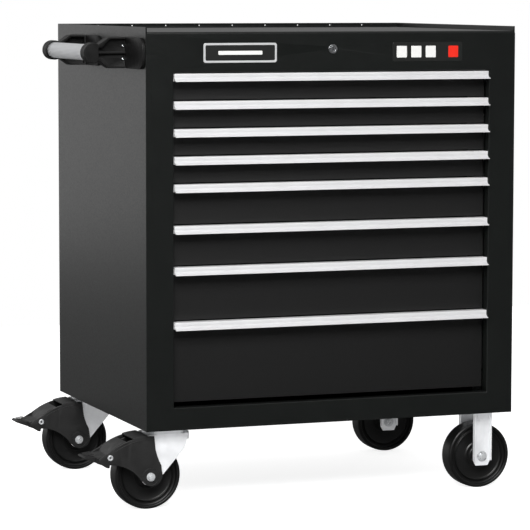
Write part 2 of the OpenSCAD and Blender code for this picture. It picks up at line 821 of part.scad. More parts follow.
side_panel_left();
side_panel_right();
back_panel();
floor_pan();
top_deck();
face_frame();
uprights();
slide_rails();
caster_channels();
handle_bracket_front();
handle_bracket_rear();
handle_grip();
handle_screws();
lock_case();
lock_core();
lock_bar();
badges();
caster_bolts();
for (i = [0 : len(drawer_units) - 1]) {
  drawer_box(i);
  drawer_pull(i);
  drawer_glides(i);
}
for (c = [["front", front_y], ["rear", rear_y]]) {
  swivel_plate(c[1]);
  swivel_fork(swivel_axle_x, c[1]);
  brake_cover(swivel_axle_x, c[1]);
  brake_pedal(swivel_axle_x, c[1]);
  caster_wheel(swivel_axle_x, c[1]);
  caster_axle(swivel_axle_x, c[1], cheek_out, 19);
  rigid_fork(rigid_axle_x, c[1]);
  caster_wheel(rigid_axle_x, c[1]);
  caster_axle(rigid_axle_x, c[1], leg_out, 24);
}
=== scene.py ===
"""Rolling tool chest: the looks of an eight-drawer steel cabinet on casters."""

import json
import math

import bmesh
import bpy
from bpy.props import FloatProperty, FloatVectorProperty, IntProperty, PointerProperty
from mathutils import Matrix, Vector


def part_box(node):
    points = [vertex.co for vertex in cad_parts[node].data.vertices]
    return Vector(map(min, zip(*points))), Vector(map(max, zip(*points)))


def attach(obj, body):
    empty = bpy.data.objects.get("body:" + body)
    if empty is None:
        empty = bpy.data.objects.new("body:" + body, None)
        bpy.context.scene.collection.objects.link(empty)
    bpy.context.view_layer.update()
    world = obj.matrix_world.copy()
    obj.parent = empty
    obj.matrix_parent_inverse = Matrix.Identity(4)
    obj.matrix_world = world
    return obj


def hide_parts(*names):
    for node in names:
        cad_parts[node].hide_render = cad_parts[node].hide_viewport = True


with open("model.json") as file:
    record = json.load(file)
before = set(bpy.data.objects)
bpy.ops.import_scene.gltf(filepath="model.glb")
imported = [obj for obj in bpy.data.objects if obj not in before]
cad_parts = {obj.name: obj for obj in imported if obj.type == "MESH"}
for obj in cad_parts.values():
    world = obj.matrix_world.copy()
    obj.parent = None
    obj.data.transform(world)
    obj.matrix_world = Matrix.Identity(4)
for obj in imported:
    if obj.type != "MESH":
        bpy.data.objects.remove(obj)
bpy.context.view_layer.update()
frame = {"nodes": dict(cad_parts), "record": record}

bl_info = {
    "name": "Rolling Tool Chest",
    "version": (1, 0, 0),
    "blender": (4, 5, 0),
    "location": "View3D > Sidebar > Tool Chest",
    "description": "Builds the finished pieces of a rolling tool chest on its CAD frame",
    "category": "Object",
}

RECORD = frame["record"]
BODY = {node: body for body, nodes in RECORD["behaviour"]["bodies"].items() for node in nodes}
JOINT_AT = {j["name"]: Vector(j["pos_m"]) for j in RECORD["behaviour"]["joints"] if "pos_m" in j}
DRAWERS = range(1, 9)
MM = 0.001
MERGE = 0.002 * MM                              # points closer than this are one point
NOISE = {"From Min": 0.3, "From Max": 0.7}      # where most of a noise texture's values lie


def linear(hex_colour):
    """Linear RGBA of an sRGB hex colour."""
    shares = [int(hex_colour[i:i + 2], 16) / 255 for i in (1, 3, 5)]
    rgb = (c / 12.92 if c <= 0.04045 else ((c + 0.055) / 1.055) ** 2.4 for c in shares)
    return (*rgb, 1.0)


def shade(colour, factor):
    """The same colour, lighter or darker."""
    return tuple(min(1.0, c * factor) for c in colour[:3]) + (1.0,)


# ---------------------------------------------------------------- settings


def colour_property(name, description, hex_colour):
    """A colour that a user can change."""
    return FloatVectorProperty(name=name, description=description, subtype="COLOR", size=4,
                               min=0.0, max=1.0, default=linear(hex_colour))


class ChestPaint(bpy.types.PropertyGroup):
    """Powder coats of the cabinet and its drawers."""
    cabinet: colour_property("Cabinet", "Colour of the cabinet's powder coat", "#0D0F0E")
    drawer: colour_property("Drawers", "Colour of the drawers' powder coat", "#090909")
    peel: FloatProperty(name="Orange peel", description="Width of one ripple in the cabinet's coat",
                        default=3.0 * MM, min=0.5 * MM, max=10 * MM, unit="LENGTH")
    grain: FloatProperty(name="Drawer grain", description="Width of one grain in the drawers' coat",
                         default=2.2 * MM, min=0.5 * MM, max=10 * MM, unit="LENGTH")
    edge: FloatProperty(name="Sheet edge", description="Radius left on the sheet steel's edges",
                        default=0.35 * MM, min=0.1 * MM, max=0.6 * MM, unit="LENGTH")


class ChestTrim(bpy.types.PropertyGroup):
    """Aluminium pulls, badges and the lock."""
    aluminium: colour_property("Aluminium", "Colour of the anodised pulls", "#D6D6D7")
    ink: colour_property("Badge ink", "Dark ink of the badges", "#161716")
    accent: colour_property("Accent", "Accent ink of the right badge", "#C8200F")
    print_height: FloatProperty(name="Print height", description="Thickness of the printed ink",
                                default=0.25 * MM, min=0.1 * MM, max=0.6 * MM, unit="LENGTH")
    bars: IntProperty(name="Bars", description="Light bars printed on the right badge",
                      default=3, min=1, max=5)


class ChestHandle(bpy.types.PropertyGroup):
    """The push handle's grip and brackets."""
    flutes: IntProperty(name="Flutes", description="Flutes around the grip",
                        default=36, min=12, max=72)
    flute_depth: FloatProperty(name="Flute depth", description="Depth of each flute",
                               default=0.7 * MM, min=0.1 * MM, max=1.5 * MM, unit="LENGTH")
    nylon: colour_property("Nylon", "Colour of the moulded brackets", "#0E0E0E")


class ChestCasters(bpy.types.PropertyGroup):
    """Wheels, forks and brakes."""
    zinc: colour_property("Zinc", "Colour of the plated forks", "#EDEEF0")
    wheel: colour_property("Wheel", "Colour of the moulded wheels", "#0B0B0B")
    nylon: colour_property("Brake nylon", "Colour of the brake covers and pedals", "#1B1B1B")
    turns: IntProperty(name="Wheel segments", description="Segments around a wheel",
                       default=128, min=48, max=256)
    treads: IntProperty(name="Pedal ribs", description="Grip ribs across a brake pedal",
                        default=5, min=2, max=8)


class ChestStage(bpy.types.PropertyGroup):
    """Floor, lights and camera."""
    floor: colour_property("Floor", "Colour of the floor", "#F7F7F7")
    floor_size: FloatProperty(name="Floor size", description="Side of the floor", default=6.0,
                              min=4.0, max=200.0, unit="LENGTH")
    key: FloatProperty(name="Key light", description="Power of the light over the front",
                       default=340.0, min=0.0, subtype="POWER")
    side: FloatProperty(name="Side light", description="Power of the light behind the left side",
                        default=9.0, min=0.0, subtype="POWER")
    sky_front: FloatProperty(name="Front ambient", description="Surrounding light before the chest",
                             default=0.09, min=0.0, max=2.0)
    sky_back: FloatProperty(name="Back ambient", description="Surrounding light behind the chest",
                            default=0.42, min=0.0, max=2.0)
    lens: FloatProperty(name="Lens", description="Focal length of the camera", default=190.4,
                        min=20.0, max=400.0)
    place: FloatVectorProperty(name="Camera", subtype="XYZ", unit="LENGTH",
                               description="Place of the camera, from the frame's low left corner",
                               default=(-1.83965, -5.658, 0.9441))
    aim: FloatVectorProperty(name="Aim", subtype="XYZ", unit="LENGTH",
                             description="Point it looks at, from the frame's low left corner",
                             default=(0.37855, 0.2914, 0.3209))
    roll: FloatProperty(name="Roll", description="Turn of the camera about its own axis",
                        default=math.radians(0.09), subtype="ANGLE")


# ---------------------------------------------------------------- node helper


def add(tree, kind, inputs=None, **settings):
    """Adds a node, sets its settings, and fills or links its inputs."""
    node = tree.nodes.new(kind)
    for name, value in settings.items():
        setattr(node, name, value)
    for name, value in (inputs or {}).items():
        if isinstance(value, bpy.types.NodeSocket):
            tree.links.new(value, node.inputs[name])
        else:
            node.inputs[name].default_value = value
    return node


# ---------------------------------------------------------------- materials


def surface(name, roughness, **shader):
    """A new material with a Principled shader: its tree, its shader and a place in metres."""
    material = bpy.data.materials.new(name)
    material.use_nodes = True
    tree = material.node_tree
    tree.nodes.clear()
    coordinates = add(tree, "ShaderNodeTexCoord")
    shader = add(tree, "ShaderNodeBsdfPrincipled", {"Roughness": roughness, **shader})
    add(tree, "ShaderNodeOutputMaterial", {"Surface": shader.outputs["BSDF"]})
    return material, tree, shader, coordinates.outputs["Object"]


def finish(tree, shader, tint, gloss=None, bump=None):
    """Gives a shader its tint, and its gloss and bump where the finish has them."""
    tree.links.new(tint.outputs[2], shader.inputs["Base Color"])
    if gloss is not None:
        tree.links.new(gloss.outputs["Result"], shader.inputs["Roughness"])
    if bump is not None:
        tree.links.new(bump.outputs["Normal"], shader.inputs["Normal"])


def powder_coat(name, colour, roughness, grain, depth, mottle):
    """Polyester powder coat, sprayed on and oven-cured: a satin skin with a fine orange
    peel that breaks up highlights, and faint clouding where the coat is thicker."""
    material, tree, shader, place = surface(name, roughness)
    cloud = add(tree, "ShaderNodeTexNoise", {"Vector": place, "Scale": 1 / mottle, "Detail": 4.0,
                                             "Roughness": 0.6})
    peel = add(tree, "ShaderNodeTexNoise", {"Vector": place, "Scale": 1 / grain, "Detail": 3.0,
                                            "Roughness": 0.55})
    tint = add(tree, "ShaderNodeMix", {0: cloud.outputs["Fac"], 6: shade(colour, 0.72),
                                       7: shade(colour, 1.28)}, data_type="RGBA")
    gloss = add(tree, "ShaderNodeMapRange", {"Value": peel.outputs["Fac"], **NOISE,
                                             "To Min": roughness - 0.05,
                                             "To Max": roughness + 0.07})
    bump = add(tree, "ShaderNodeBump", {"Height": peel.outputs["Fac"], "Strength": 0.6,
                                        "Distance": depth})
    finish(tree, shader, tint, gloss, bump)
    return material


def drawn_metal(name, colour, roughness, along, line, metallic=1.0, streak=0.12):
    """Extruded or drawn metal: fine die lines run its whole length, so that highlights
    stretch across them.  `along` is the axis of the lines, and `line` their spacing."""
    material, tree, shader, place = surface(name, roughness, Metallic=metallic)
    stretch = [1 / line] * 3
    stretch["XYZ".index(along)] = 1 / (400 * line)
    lines = add(tree, "ShaderNodeMapping", {"Vector": place, "Scale": stretch})
    grain = add(tree, "ShaderNodeTexNoise", {"Vector": lines.outputs["Vector"], "Scale": 1.0,
                                             "Detail": 2.0})
    cloud = add(tree, "ShaderNodeTexNoise", {"Vector": place, "Scale": 1 / (40 * MM),
                                             "Detail": 2.0})
    tint = add(tree, "ShaderNodeMix", {0: grain.outputs["Fac"], 6: shade(colour, 1 - streak),
                                       7: shade(colour, 1.03)}, data_type="RGBA")
    gloss = add(tree, "ShaderNodeMapRange", {"Value": cloud.outputs["Fac"], **NOISE,
                                             "To Min": roughness - 0.05,
                                             "To Max": roughness + 0.06})
    bump = add(tree, "ShaderNodeBump", {"Height": grain.outputs["Fac"], "Strength": 0.35,
                                        "Distance": 0.05 * MM})
    finish(tree, shader, tint, gloss, bump)
    return material


def zinc_plate(name, colour, roughness, spangle, metallic=1.0):
    """Bright zinc plate on pressed steel: a cool, bright grey that clouds softly, with a
    faint ripple from the pressing."""
    material, tree, shader, place = surface(name, roughness, Metallic=metallic)
    cloud = add(tree, "ShaderNodeTexNoise", {"Vector": place, "Scale": 1 / spangle, "Detail": 2.0})
    ripple = add(tree, "ShaderNodeTexNoise", {"Vector": place, "Scale": 1 / (14 * MM),
                                              "Detail": 1.0})
    tint = add(tree, "ShaderNodeMix", {0: cloud.outputs["Fac"], 6: shade(colour, 0.8),
                                       7: shade(colour, 1.05)}, data_type="RGBA")
    gloss = add(tree, "ShaderNodeMapRange", {"Value": cloud.outputs["Fac"], **NOISE,
                                             "To Min": roughness - 0.06,
                                             "To Max": roughness + 0.08})
    bump = add(tree, "ShaderNodeBump", {"Height": ripple.outputs["Fac"], "Strength": 0.3,
                                        "Distance": 0.15 * MM})
    finish(tree, shader, tint, gloss, bump)
    return material


def moulded_nylon(name, colour, roughness, texture, gloss_level=0.5):
    """Glass-filled nylon, injection moulded in a spark-eroded tool: an even matte grain
    with slow flow marks.  The real grain is 0.1 mm, too fine to show, so it is drawn coarser."""
    material, tree, shader, place = surface(name, roughness, **{"Specular IOR Level": gloss_level})
    flow = add(tree, "ShaderNodeTexNoise", {"Vector": place, "Scale": 1 / (25 * MM), "Detail": 2.0,
                                            "Distortion": 1.2})
    spark = add(tree, "ShaderNodeTexVoronoi", {"Vector": place, "Scale": 1 / texture},
                feature="SMOOTH_F1")
    tint = add(tree, "ShaderNodeMix", {0: flow.outputs["Fac"], 6: shade(colour, 0.78),
                                       7: shade(colour, 1.25)}, data_type="RGBA")
    gloss = add(tree, "ShaderNodeMapRange", {"Value": flow.outputs["Fac"], **NOISE,
                                             "To Min": roughness - 0.06,
                                             "To Max": roughness + 0.08})
    bump = add(tree, "ShaderNodeBump", {"Height": spark.outputs["Distance"], "Strength": 0.4,
                                        "Distance": 0.15 * MM})
    finish(tree, shader, tint, gloss, bump)
    return material


def moulded_wheel(name, colour, axle):
    """Polyolefin, moulded hard and smooth: turning rings from the mould's lathe work run
    round the axle, and the tread is a little scuffed."""
    material, tree, shader, place = surface(name, 0.36)
    centred = add(tree, "ShaderNodeVectorMath", {0: place, 1: axle}, operation="SUBTRACT")
    flat = add(tree, "ShaderNodeVectorMath", {0: centred.outputs[0], 1: (1.0, 0.0, 1.0)},
               operation="MULTIPLY")
    radius = add(tree, "ShaderNodeVectorMath", {0: flat.outputs[0]}, operation="LENGTH")
    ring_place = add(tree, "ShaderNodeCombineXYZ", {"X": radius.outputs["Value"]})
    rings = add(tree, "ShaderNodeTexNoise", {"Vector": ring_place.outputs[0],
                                             "Scale": 1 / (1.6 * MM), "Detail": 2.0})
    scuff = add(tree, "ShaderNodeTexNoise", {"Vector": place, "Scale": 1 / (6 * MM), "Detail": 5.0,
                                             "Roughness": 0.7})
    tint = add(tree, "ShaderNodeMix", {0: scuff.outputs["Fac"], 6: shade(colour, 0.75),
                                       7: shade(colour, 1.35)}, data_type="RGBA")
    gloss = add(tree, "ShaderNodeMapRange", {"Value": scuff.outputs["Fac"], **NOISE,
                                             "To Min": 0.3, "To Max": 0.46})
    bump = add(tree, "ShaderNodeBump", {"Height": rings.outputs["Fac"], "Strength": 0.3,
                                        "Distance": 0.1 * MM})
    finish(tree, shader, tint, gloss, bump)
    return material


def bright_chrome(name):
    """Nickel and chrome on a zinc die casting: a mirror, dulled a little by handling."""
    material, tree, shader, place = surface(name, 0.3, Metallic=1.0)
    haze = add(tree, "ShaderNodeTexNoise", {"Vector": place, "Scale": 1 / (3 * MM), "Detail": 4.0})
    tint = add(tree, "ShaderNodeMix", {0: haze.outputs["Fac"], 6: linear("#B9BBBE"),
                                       7: linear("#E2E4E6")}, data_type="RGBA")
    gloss = add(tree, "ShaderNodeMapRange", {"Value": haze.outputs["Fac"], **NOISE,
                                             "To Min": 0.24, "To Max": 0.38})
    finish(tree, shader, tint, gloss)
    return material


def screen_ink(name, colour):
    """Screen-printed enamel ink: an even, slightly pebbled film with soft gloss."""
    material, tree, shader, place = surface(name, 0.4)
    film = add(tree, "ShaderNodeTexNoise", {"Vector": place, "Scale": 1 / (1.2 * MM),
                                            "Detail": 3.0})
    tint = add(tree, "ShaderNodeMix", {0: film.outputs["Fac"], 6: shade(colour, 0.9),
                                       7: shade(colour, 1.06)}, data_type="RGBA")
    bump = add(tree, "ShaderNodeBump", {"Height": film.outputs["Fac"], "Strength": 0.3,
                                        "Distance": 0.05 * MM})
    finish(tree, shader, tint, bump=bump)
    return material


# ---------------------------------------------------------------- geometry node trees


def new_tree(name, sockets):
    """A geometry tree with these inputs and one geometry output: the tree and its input node."""
    tree = bpy.data.node_groups.new(name, "GeometryNodeTree")
    for label, kind in sockets:
        tree.interface.new_socket(label, in_out="INPUT", socket_type="NodeSocket" + kind)
    tree.interface.new_socket("Result", in_out="OUTPUT", socket_type="NodeSocketGeometry")
    return tree, add(tree, "NodeGroupInput")


def end_tree(tree, geometry, material):
    """Ends a tree in real geometry with its material."""
    real = add(tree, "GeometryNodeRealizeInstances", {"Geometry": geometry})
    done = add(tree, "GeometryNodeSetMaterial", {"Geometry": real.outputs["Geometry"],
                                                 "Material": material})
    add(tree, "NodeGroupOutput", {"Result": done.outputs["Geometry"]})
    return tree


def rows_tree():
    """Repeats a shape in rows: Count along Step, and Rows along Row Step."""
    tree, given = new_tree("repeat_in_rows", [
        ("Shape", "Geometry"), ("Count", "Int"), ("Step", "Vector"),
        ("Rows", "Int"), ("Row Step", "Vector"), ("Material", "Material")])
    line = add(tree, "GeometryNodeMeshLine", {"Count": given.outputs["Count"],
                                              "Offset": given.outputs["Step"]}, mode="OFFSET")
    rows = add(tree, "GeometryNodeMeshLine", {"Count": given.outputs["Rows"],
                                              "Offset": given.outputs["Row Step"]}, mode="OFFSET")
    row = add(tree, "GeometryNodeInstanceOnPoints", {"Points": line.outputs["Mesh"],
                                                     "Instance": given.outputs["Shape"]})
    grid = add(tree, "GeometryNodeInstanceOnPoints", {"Points": rows.outputs["Mesh"],
                                                      "Instance": row.outputs["Instances"]})
    return end_tree(tree, grid.outputs["Instances"], given.outputs["Material"])


def bead_tree():
    """Runs a round bead of a given Radius along the edges of a path."""
    tree, given = new_tree("bead_along_path", [
        ("Path", "Geometry"), ("Radius", "Float"), ("Material", "Material")])
    curve = add(tree, "GeometryNodeMeshToCurve", {"Mesh": given.outputs["Path"]})
    ring = add(tree, "GeometryNodeCurvePrimitiveCircle", {"Resolution": 8,
                                                          "Radius": given.outputs["Radius"]})
    bead = add(tree, "GeometryNodeCurveToMesh", {"Curve": curve.outputs["Curve"],
                                                 "Profile Curve": ring.outputs["Curve"],
                                                 "Fill Caps": True})
    return end_tree(tree, bead.outputs["Mesh"], given.outputs["Material"])


def flute_tree():
    """A round bar along a path, fluted lengthwise: Radius, Flutes and Depth."""
    tree, given = new_tree("fluted_bar", [
        ("Path", "Geometry"), ("Radius", "Float"), ("Flutes", "Int"), ("Depth", "Float"),
        ("Material", "Material")])
    points = add(tree, "ShaderNodeMath", {0: given.outputs["Flutes"], 1: 8.0}, operation="MULTIPLY")
    ring = add(tree, "GeometryNodeCurvePrimitiveCircle", {"Resolution": points.outputs[0],
                                                          "Radius": given.outputs["Radius"]})
    place = add(tree, "GeometryNodeInputPosition")
    parts = add(tree, "ShaderNodeSeparateXYZ", {"Vector": place.outputs["Position"]})
    angle = add(tree, "ShaderNodeMath", {0: parts.outputs["Y"], 1: parts.outputs["X"]},
                operation="ARCTAN2")
    phase = add(tree, "ShaderNodeMath", {0: angle.outputs[0], 1: given.outputs["Flutes"]},
                operation="MULTIPLY")
    wave = add(tree, "ShaderNodeMath", {0: phase.outputs[0]}, operation="COSINE")
    low = add(tree, "ShaderNodeMath", {0: wave.outputs[0], 1: 0.0}, operation="MINIMUM")
    cut = add(tree, "ShaderNodeMath", {0: low.outputs[0], 1: given.outputs["Depth"]},
              operation="MULTIPLY")
    outward = add(tree, "ShaderNodeVectorMath", {0: place.outputs["Position"]},
                  operation="NORMALIZE")
    move = add(tree, "ShaderNodeVectorMath", {0: outward.outputs[0], "Scale": cut.outputs[0]},
               operation="SCALE")
    fluted = add(tree, "GeometryNodeSetPosition", {"Geometry": ring.outputs["Curve"],
                                                   "Offset": move.outputs[0]})
    curve = add(tree, "GeometryNodeMeshToCurve", {"Mesh": given.outputs["Path"]})
    bar = add(tree, "GeometryNodeCurveToMesh", {"Curve": curve.outputs["Curve"],
                                                "Profile Curve": fluted.outputs["Geometry"],
                                                "Fill Caps": True})
    return end_tree(tree, bar.outputs["Mesh"], given.outputs["Material"])


def grow(piece, tree, **values):
    """Runs a tree on a piece and keeps the result as a plain mesh."""
    modifier = piece.modifiers.new(tree.name, "NODES")
    modifier.node_group = tree
    for item in tree.interface.items_tree:
        if item.in_out == "INPUT" and item.name.replace(" ", "_") in values:
            modifier[item.identifier] = values[item.name.replace(" ", "_")]
    graph = bpy.context.evaluated_depsgraph_get()
    grown = bpy.data.meshes.new_from_object(piece.evaluated_get(graph))
    piece.modifiers.remove(modifier)
    piece.data = grown
    return piece


# ---------------------------------------------------------------- mesh helpers


def new_piece(name, mesh_or_bm, material=None, sharp=35):
    """Puts a mesh in the scene, smooth except at its sharp edges."""
    mesh = mesh_or_bm
    if isinstance(mesh_or_bm, bmesh.types.BMesh):
        mesh = bpy.data.meshes.new(name)
        mesh_or_bm.to_mesh(mesh)
        mesh_or_bm.free()
    if material:
        mesh.materials.clear()
        mesh.materials.append(material)
    mesh.shade_smooth()
    mesh.set_sharp_from_angle(angle=math.radians(sharp))
    piece = bpy.data.objects.new(name, mesh)
    bpy.context.scene.collection.objects.link(piece)
    return piece


def on_body(piece, node, stands_for=True):
    """The piece moves with a node's body, and may stand for the node."""
    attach(piece, BODY[node])
    if stands_for:
        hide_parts(node)
    return piece


def merged(node, whole=False):
    """A node's shape with its doubles merged, and its flat faces made whole if asked."""
    bm = bmesh.new()
    bm.from_mesh(frame["nodes"][node].data)
    bmesh.ops.remove_doubles(bm, verts=bm.verts, dist=MERGE)
    if whole:
        bmesh.ops.dissolve_limit(bm, angle_limit=math.radians(0.5), verts=bm.verts, edges=bm.edges)
    return bm


def soften(bm, radius, over=32):
    """Rounds every edge that turns by more than an angle in degrees."""
    edges = [e for e in bm.edges if e.is_manifold and e.calc_face_angle(0) > math.radians(over)]
    bmesh.ops.bevel(bm, geom=edges, offset=radius, offset_type="OFFSET", segments=2, profile=0.5,
                    affect="EDGES", clamp_overlap=False)
    return bm


def measures(bm):
    """Volume and surface of a mesh."""
    return bm.calc_volume(signed=True), sum(f.calc_area() for f in bm.faces)


def eased(node, radius):
    """A node's shape with rounded edges.  Rounding that folds a surface over changes its volume
    or its surface, so it is tried on whole faces, then on triangles, then with less radius."""
    plain = merged(node)
    volume, surface_area = measures(plain)
    for share, whole in ((1, True), (1, False), (0.5, True), (0.5, False)):
        bm = soften(merged(node, whole), radius * share)
        bmesh.ops.triangulate(bm, faces=[f for f in bm.faces if len(f.verts) > 4])
        new_volume, new_area = measures(bm)
        if abs(new_volume / volume - 1) < 0.03 and 0.93 < new_area / surface_area < 1.005:
            plain.free()
            return bm
        bm.free()
    return plain


def dressed(node, name, material, radius=0.0, sharp=20):
    """A node's own shape, with its edges eased and a finish on it."""
    bm = eased(node, radius) if radius else merged(node)
    return on_body(new_piece(name, bm, material, sharp), node)


def islands(node):
    """The box of each separate solid of a node, from left to right."""
    bm = merged(node)
    left, boxes = set(bm.verts), []
    while left:
        group, stack = set(), [left.pop()]
        while stack:
            v = stack.pop()
            group.add(v)
            for other in (e.other_vert(v) for e in v.link_edges):
                if other in left:
                    left.discard(other)
                    stack.append(other)
        points = [v.co for v in group]
        boxes.append((Vector(min(p[i] for p in points) for i in range(3)),
                      Vector(max(p[i] for p in points) for i in range(3))))
    bm.free()
    return sorted(boxes, key=lambda b: tuple(round(c, 4) for c in b[0]))


def slab(bm, lo, hi, corner=0.0, edge=0.0):
    """A plate facing -Y between two corners, with rounded corners and a bevelled front."""
    steps = 6 if corner else 0
    outline = []
    for cx, cz, start in ((hi[0], hi[2], 0), (lo[0], hi[2], 90),
                          (lo[0], lo[2], 180), (hi[0], lo[2], 270)):
        sx, sz = (1 if cx == hi[0] else -1), (1 if cz == hi[2] else -1)
        for i in range(steps + 1):
            a = math.radians(start + (90 * i / steps if steps else 45))
            outline.append((cx + corner * (math.cos(a) - sx), cz + corner * (math.sin(a) - sz)))
    middle = Vector(((lo[0] + hi[0]) / 2, (lo[2] + hi[2]) / 2))
    half = Vector(((hi[0] - lo[0]) / 2, (hi[2] - lo[2]) / 2))
    inset = [(middle[0] + (x - middle[0]) * (1 - edge / half[0]),
              middle[1] + (z - middle[1]) * (1 - edge / half[1])) for x, z in outline]
    rings = [[bm.verts.new((x, hi[1], z)) for x, z in outline],
             [bm.verts.new((x, lo[1] + edge, z)) for x, z in outline],
             [bm.verts.new((x, lo[1], z)) for x, z in inset]]
    count = len(outline)
    for a, b in zip(rings, rings[1:]):
        for i in range(count):
            bm.faces.new((a[i], b[i], b[(i + 1) % count], a[(i + 1) % count]))
    bm.faces.new(rings[0])
    bm.faces.new(rings[-1][::-1])
    bmesh.ops.recalc_face_normals(bm, faces=bm.faces)
    return bm


def lathe(profile, centre, turns):
    """Turns a closed (radius, Y) outline about an axle along Y through a centre."""
    bm = bmesh.new()
    rings = []
    for i in range(turns):
        a = 2 * math.pi * i / turns
        rings.append([bm.verts.new((centre[0] + r * math.cos(a), centre[1] + y,
                                    centre[2] + r * math.sin(a))) for r, y in profile])
    count = len(profile)
    for i, ring in enumerate(rings):
        after = rings[(i + 1) % turns]
        for j in range(count):
            k = (j + 1) % count
            bm.faces.new((ring[j], ring[k], after[k], after[j]))
    bmesh.ops.recalc_face_normals(bm, faces=bm.faces)
    return bm


def arc(centre, radius, start, end, steps):
    """Points of an arc in a plane, from one angle in degrees to another."""
    return [(centre[0] + radius * math.cos(math.radians(start + (end - start) * i / steps)),
             centre[1] + radius * math.sin(math.radians(start + (end - start) * i / steps)))
            for i in range(steps + 1)]


def path_piece(name, runs):
    """A wire piece of edges through runs of points; a run that ends where it began is closed."""
    mesh = bpy.data.meshes.new(name)
    points, edges = [], []
    for run in runs:
        first = len(points)
        closed = (Vector(run[0]) - Vector(run[-1])).length < 1e-9
        run = run[:-1] if closed else run
        points += [tuple(p) for p in run]
        edges += [(first + i, first + i + 1) for i in range(len(run) - 1)]
        if closed:
            edges.append((first + len(run) - 1, first))
    mesh.from_pydata(points, edges, [])
    piece = bpy.data.objects.new(name, mesh)
    bpy.context.scene.collection.objects.link(piece)
    return piece


def dome(centre, radius, height, axis, sides=12, slot=False):
    """A low round head standing on a surface, its top away along an axis."""
    bm = bmesh.new()
    outline = [(1.0, 0.0), (0.94, 0.5), (0.72, 0.85), (0.4, 1.0)]
    rings = [[bm.verts.new((radius * r * math.cos(2 * math.pi * i / sides),
                            radius * r * math.sin(2 * math.pi * i / sides), height * h))
              for i in range(sides)] for r, h in outline]
    for a, b in zip(rings, rings[1:]):
        for i in range(sides):
            bm.faces.new((a[i], a[(i + 1) % sides], b[(i + 1) % sides], b[i]))
    bm.faces.new(rings[0][::-1])
    top = rings[-1]
    if slot:
        low = [bm.verts.new((v.co.x * 0.8, v.co.y * 0.8, height * 0.35)) for v in top]
        for i in range(sides):
            bm.faces.new((top[i], top[(i + 1) % sides], low[(i + 1) % sides], low[i]))
        top = low
    bm.faces.new(top)
    turn = Vector((0, 0, 1)).rotation_difference(Vector(axis)).to_matrix().to_4x4()
    bmesh.ops.transform(bm, matrix=Matrix.Translation(centre) @ turn, verts=bm.verts)
    return bm


# ---------------------------------------------------------------- pieces


class CHEST_OT_cabinet(bpy.types.Operator):
    """Dress the cabinet's sheet steel in its satin powder coat"""
    bl_idname = "chest.cabinet"
    bl_label = "Cabinet"

    def execute(self, context):
        paint = context.scene.chest_paint
        coat = powder_coat("satin_powder_coat", paint.cabinet, 0.33, paint.peel, 0.1 * MM, 60 * MM)
        for node in ("side_panel_left", "side_panel_right", "back_panel", "top_deck", "face_frame"):
            dressed(node, node + "_coated", coat, paint.edge)
        frame["nodes"]["floor_pan"].data.materials.clear()
        frame["nodes"]["floor_pan"].data.materials.append(coat)
        self.spot_welds(coat)
        return {"FINISHED"}

    def spot_welds(self, coat):
        """Rows of spot welds up the back's two edges."""
        lo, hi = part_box("back_panel")
        inset, pitch = 12 * MM, 75 * MM
        count = int((hi.z - lo.z - 4 * inset) / pitch) + 1
        welds = new_piece("back_spot_welds", dome((0, 0, 0), 3.2 * MM, 0.5 * MM, (0, 1, 0)), coat)
        grow(welds, rows_tree(), Count=count, Step=(0, 0, pitch), Rows=2,
             Row_Step=(hi.x - lo.x - 2 * inset, 0, 0), Material=coat)
        first = Vector((lo.x + inset, hi.y - 0.05 * MM, lo.z + 2 * inset))
        welds.data.transform(Matrix.Translation(first))
        on_body(welds, "back_panel", stands_for=False)


class CHEST_OT_drawers(bpy.types.Operator):
    """Dress the drawers in their fine-textured powder coat"""
    bl_idname = "chest.drawers"
    bl_label = "Drawers"

    def execute(self, context):
        paint = context.scene.chest_paint
        coat = powder_coat("textured_powder_coat", paint.drawer, 0.5, paint.grain, 0.25 * MM,
                           12 * MM)
        for i in DRAWERS:
            dressed(f"drawer_{i}_box", f"drawer_{i}_coated", coat, 0.3 * MM)
        return {"FINISHED"}


class CHEST_OT_pulls(bpy.types.Operator):
    """Finish the full-width aluminium pulls"""
    bl_idname = "chest.pulls"
    bl_label = "Drawer pulls"

    def execute(self, context):
        trim = context.scene.chest_trim
        metal = drawn_metal("anodised_aluminium_extrusion", trim.aluminium, 0.45, "X", 0.8 * MM,
                            metallic=0.35, streak=0.06)
        for i in DRAWERS:
            dressed(f"drawer_{i}_pull", f"drawer_{i}_pull_extrusion", metal, 0.2 * MM, sharp=24)
        return {"FINISHED"}


class CHEST_OT_slides(bpy.types.Operator):
    """Plate the slides, uprights, channels and locking bar"""
    bl_idname = "chest.slides"
    bl_label = "Slides and inner steel"

    def execute(self, context):
        plate = zinc_plate("zinc_plated_strip_steel", linear("#B9BCC0"), 0.32, 30 * MM)
        names = ["slide_rails", "uprights", "caster_channels", "lock_bar"]
        for node in names + [f"drawer_{i}_glides" for i in DRAWERS]:
            materials = frame["nodes"][node].data.materials
            materials.clear()
            materials.append(plate)
        return {"FINISHED"}


